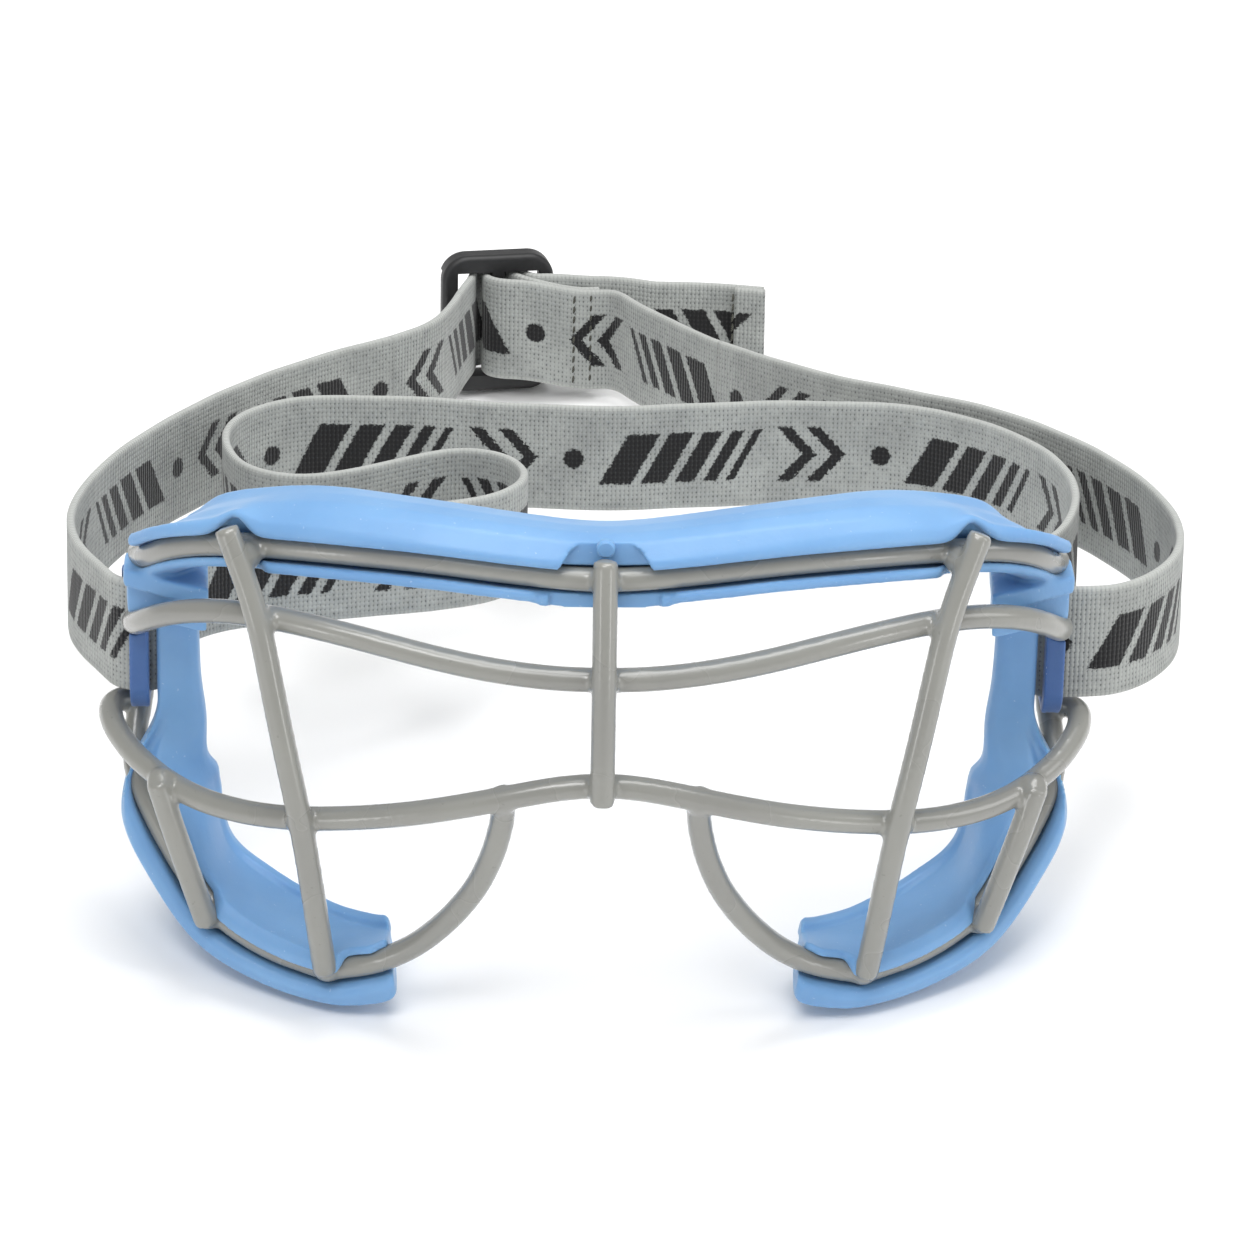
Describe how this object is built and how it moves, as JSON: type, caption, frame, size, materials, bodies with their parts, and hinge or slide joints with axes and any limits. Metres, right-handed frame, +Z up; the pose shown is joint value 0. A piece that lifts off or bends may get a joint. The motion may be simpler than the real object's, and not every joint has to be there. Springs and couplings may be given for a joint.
{
  "type": "sports eye guard",
  "caption": "Wire-cage sports goggles: coated wire bars, silicone brow and cheek pads, and an elastic head strap with a three-bar slide adjuster.",
  "frame": {"origin": "middle of the bounding box at the table it rests on, under the two cheek pads and the strap's slide", "axes": "+Z up from the table, +Y from the cage back along the strap, +X to the wearer's left"},
  "size_m": [0.1784, 0.2014, 0.087],
  "materials": {
    "coated_wire": "satin polymer coating over steel wire",
    "silicone": "matt light blue silicone",
    "ear_silicone": "matt dark blue moulded rubber",
    "elastic": "knitted grey elastic with a dark print",
    "thread": "sewing thread",
    "slide_plastic": "matt black moulded plastic"
  },
  "bodies": {
    "cage": {"brow_pad": "silicone", "brow_pad_stud": "silicone", "brow_wire": "coated_wire", "centre_bar": "coated_wire", "left_cheek_pad": "silicone", "left_cheek_strut": "coated_wire", "left_nose_arc": "coated_wire", "left_side_bar": "coated_wire", "left_strap_ear": "ear_silicone", "left_strap_loop": "elastic", "left_temple_wire": "coated_wire", "lower_bar": "coated_wire", "right_cheek_pad": "silicone", "right_cheek_strut": "coated_wire", "right_nose_arc": "coated_wire", "right_side_bar": "coated_wire", "right_strap_ear": "ear_silicone", "right_strap_loop": "elastic", "right_temple_wire": "coated_wire", "upper_bar": "coated_wire", "weld_beads": "coated_wire"},
    "strap": {"free_tail": "elastic", "hem_stitches": "thread", "inner_fold": "elastic", "inner_left_run": "elastic", "inner_right_run": "elastic", "outer_left_run": "elastic", "outer_right_run": "elastic", "slide_lead_in": "elastic", "slide_lead_out": "elastic", "tail_hem": "elastic", "tail_lead": "elastic"},
    "adjuster": {"loop_stitches": "thread", "sewn_loop": "elastic", "slide_adjuster": "slide_plastic", "threaded_stretch": "elastic"}
  },
  "joints": [
    {"name": "strap_swing", "type": "hinge", "parent": "cage", "child": "strap", "pos_m": [-0.00504, -0.0548, 0.04798], "axis": [1, 0, 0], "range_deg": [-20, 35], "deforming": ["left_strap_loop", "right_strap_loop"]},
    {"name": "slider_adjust", "type": "slide", "parent": "strap", "child": "adjuster", "axis": [0.9848, 0.169, -0.0397], "range_m": [-0.012, 0.004], "deforming": ["slide_lead_in", "slide_lead_out", "tail_lead"]}
  ]
}
